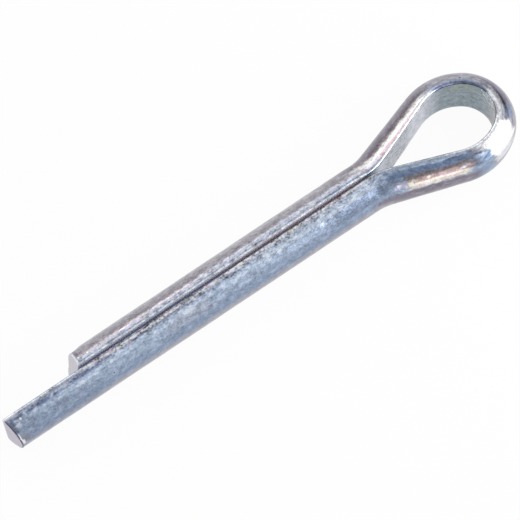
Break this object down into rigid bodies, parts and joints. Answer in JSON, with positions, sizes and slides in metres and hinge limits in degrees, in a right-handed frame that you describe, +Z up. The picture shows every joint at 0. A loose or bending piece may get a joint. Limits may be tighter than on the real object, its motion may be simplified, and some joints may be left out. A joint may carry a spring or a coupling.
{
  "type": "cotter pin",
  "caption": "Extended-prong cotter pin: half-round wire folded back on itself round a teardrop eye, with one leg longer than the other and both ends sheared.",
  "frame": {"origin": "on the shank's axis, in the plane where the two legs begin to part into the eye", "axes": "+X along the shank towards the eye, +Y towards the short leg, +Z up, across the flat of the wire, as the pin lies on its side"},
  "size_m": [0.0534, 0.0098, 0.0044],
  "materials": {
    "zinc_plate": "bright zinc plate, faintly blue"
  },
  "bodies": {
    "root": {"cotter_pin": "zinc_plate"}
  },
  "joints": []
}
